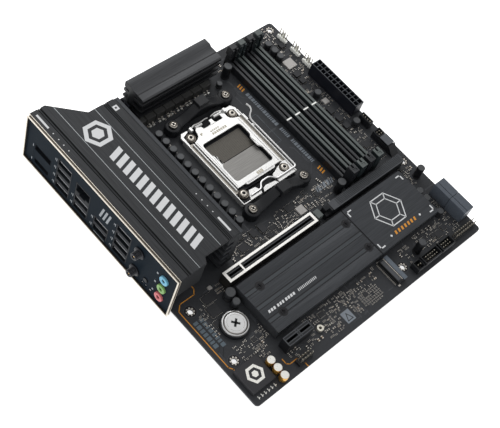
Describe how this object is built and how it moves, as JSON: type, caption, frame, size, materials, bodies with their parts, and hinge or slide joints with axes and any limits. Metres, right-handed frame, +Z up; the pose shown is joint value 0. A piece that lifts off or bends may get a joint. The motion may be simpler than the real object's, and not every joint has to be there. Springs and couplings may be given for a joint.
{
  "type": "motherboard",
  "caption": "Micro-ATX computer motherboard with rear port panel, finned heatsinks, processor socket, memory sockets, expansion slots and latches.",
  "frame": {"origin": "centre of the outline seen from above, at the height of the lowest face", "axes": "+X from the rear port panel towards the front edge, +Y from the expansion slots towards the upper heatsink, +Z up out of the board's component side"},
  "size_m": [0.2526, 0.2496, 0.0477],
  "materials": {
    "board": "satin solder mask",
    "panel_steel": "satin",
    "rim_metal": "satin",
    "port_shell": "satin",
    "port_tongue": "satin",
    "dark_shell": "satin",
    "black_plastic": "matte",
    "jack_plastic": "satin",
    "antenna_metal": "satin",
    "cover_metal": "brushed",
    "heatsink": "brushed",
    "chip_plastic": "matte",
    "choke_metal": "matte",
    "capacitor_can": "satin",
    "capacitor_dark": "satin",
    "capacitor_gold": "satin",
    "contact_metal": "satin",
    "socket_steel": "satin",
    "wire_steel": "satin",
    "screw_steel": "satin",
    "backplate_steel": "matte",
    "bracket_plastic": "satin",
    "slot_dark": "satin",
    "slot_grey": "satin",
    "slot_shell": "satin",
    "button_plastic": "satin",
    "black_steel": "satin",
    "standoff_metal": "satin",
    "header_plastic": "satin",
    "sata_plastic": "satin",
    "pin_gold": "satin",
    "white_plastic": "satin",
    "battery_steel": "satin",
    "cover_dark": "matte",
    "solder": "satin"
  },
  "bodies": {
    "board": {"pcb": "board", "io_shield": "panel_steel", "io_shield_rim": "rim_metal", "usb_quad_stacks": "port_shell", "lan_usb_stack": "port_shell", "usb_dual_stack": "port_shell", "usb_tongues": "port_tongue", "display_ports": "dark_shell", "audio_jacks": "black_plastic", "audio_jack_rings": "jack_plastic", "antenna_connectors": "antenna_metal", "io_cover": "cover_metal", "vrm_heatsink_left": "heatsink", "vrm_heatsink_top": "heatsink", "vrm_power_stages": "chip_plastic", "vrm_chokes": "choke_metal", "vrm_capacitors": "capacitor_can", "tall_capacitors": "capacitor_dark", "audio_capacitors": "capacitor_gold", "socket_housing": "black_plastic", "socket_contacts": "contact_metal", "socket_frame": "socket_steel", "steel_screws": "screw_steel", "socket_backplate": "backplate_steel", "cooler_brackets": "bracket_plastic", "dimm_slot_1": "slot_dark", "dimm_slot_2": "slot_grey", "dimm_slot_3": "slot_dark", "dimm_slot_4": "slot_grey", "pcie_x16_slot": "black_plastic", "pcie_x16_shield": "slot_shell", "pcie_x1_slot": "black_plastic", "release_housing": "bracket_plastic", "m2_heatsink": "heatsink", "m2_screws": "black_steel", "m2_sockets": "black_plastic", "m2_standoffs": "standoff_metal", "chipset_heatsink": "heatsink", "integrated_circuits": "chip_plastic", "atx_power_header": "header_plastic", "eps_power_headers": "header_plastic", "sata_ports": "sata_plastic", "header_shrouds": "black_plastic", "header_pins": "pin_gold", "fan_headers": "white_plastic", "battery_holder": "black_plastic", "battery": "battery_steel", "audio_cover": "cover_dark", "solder_pins": "solder"},
    "load_plate": {"socket_load_plate": "socket_steel"},
    "lever": {"socket_lever": "wire_steel"},
    "memory_latch_1": {"dimm_latch_1": "slot_dark"},
    "memory_latch_2": {"dimm_latch_2": "slot_grey"},
    "memory_latch_3": {"dimm_latch_3": "slot_dark"},
    "memory_latch_4": {"dimm_latch_4": "slot_grey"},
    "slot_latch": {"pcie_x16_latch": "slot_grey"},
    "release_slider": {"release_slider": "bracket_plastic"},
    "release_button": {"release_button": "button_plastic"},
    "bios_button": {"bios_button": "black_plastic"}
  },
  "joints": [
    {"name": "load_plate_hinge", "type": "hinge", "parent": "board", "child": "load_plate", "pos_m": [0.00879, 0.06915, 0.0094], "axis": [-1, 0, 0], "range_deg": [0, 100]},
    {"name": "lever_hinge", "type": "hinge", "parent": "board", "child": "lever", "pos_m": [0.00879, -0.00024, 0.0088], "axis": [1, 0, 0], "range_deg": [0, 110]},
    {"name": "memory_latch_1_hinge", "type": "hinge", "parent": "board", "child": "memory_latch_1", "pos_m": [0.06393, 0.10473, 0.0072], "axis": [-1, 0, 0], "range_deg": [0, 28]},
    {"name": "memory_latch_2_hinge", "type": "hinge", "parent": "board", "child": "memory_latch_2", "pos_m": [0.07333, 0.10473, 0.0072], "axis": [-1, 0, 0], "range_deg": [0, 28]},
    {"name": "memory_latch_3_hinge", "type": "hinge", "parent": "board", "child": "memory_latch_3", "pos_m": [0.08273, 0.10473, 0.0072], "axis": [-1, 0, 0], "range_deg": [0, 28]},
    {"name": "memory_latch_4_hinge", "type": "hinge", "parent": "board", "child": "memory_latch_4", "pos_m": [0.09213, 0.10473, 0.0072], "axis": [-1, 0, 0], "range_deg": [0, 28]},
    {"name": "release_button_slide", "type": "slide", "parent": "board", "child": "release_button", "axis": [0, 0, -1], "range_m": [0, 0.0015], "stiffness_N_per_m": 300, "springref_m": -0.001},
    {"name": "release_slider_slide", "type": "slide", "parent": "board", "child": "release_slider", "axis": [-1, 0, 0], "range_m": [0, 0.0015]},
    {"name": "slot_latch_hinge", "type": "hinge", "parent": "board", "child": "slot_latch", "pos_m": [0.01793, -0.04294, 0.0072], "axis": [0, 1, 0], "range_deg": [0, 15]},
    {"name": "bios_button_slide", "type": "slide", "parent": "board", "child": "bios_button", "axis": [1, 0, 0], "range_m": [0, 0.0007], "stiffness_N_per_m": 300, "springref_m": -0.001}
  ],
  "couplings": [
    {"joint": "release_slider_slide", "follows": "release_button_slide", "ratio": 1},
    {"joint": "slot_latch_hinge", "follows": "release_button_slide", "rad_per_m": 174.36}
  ]
}
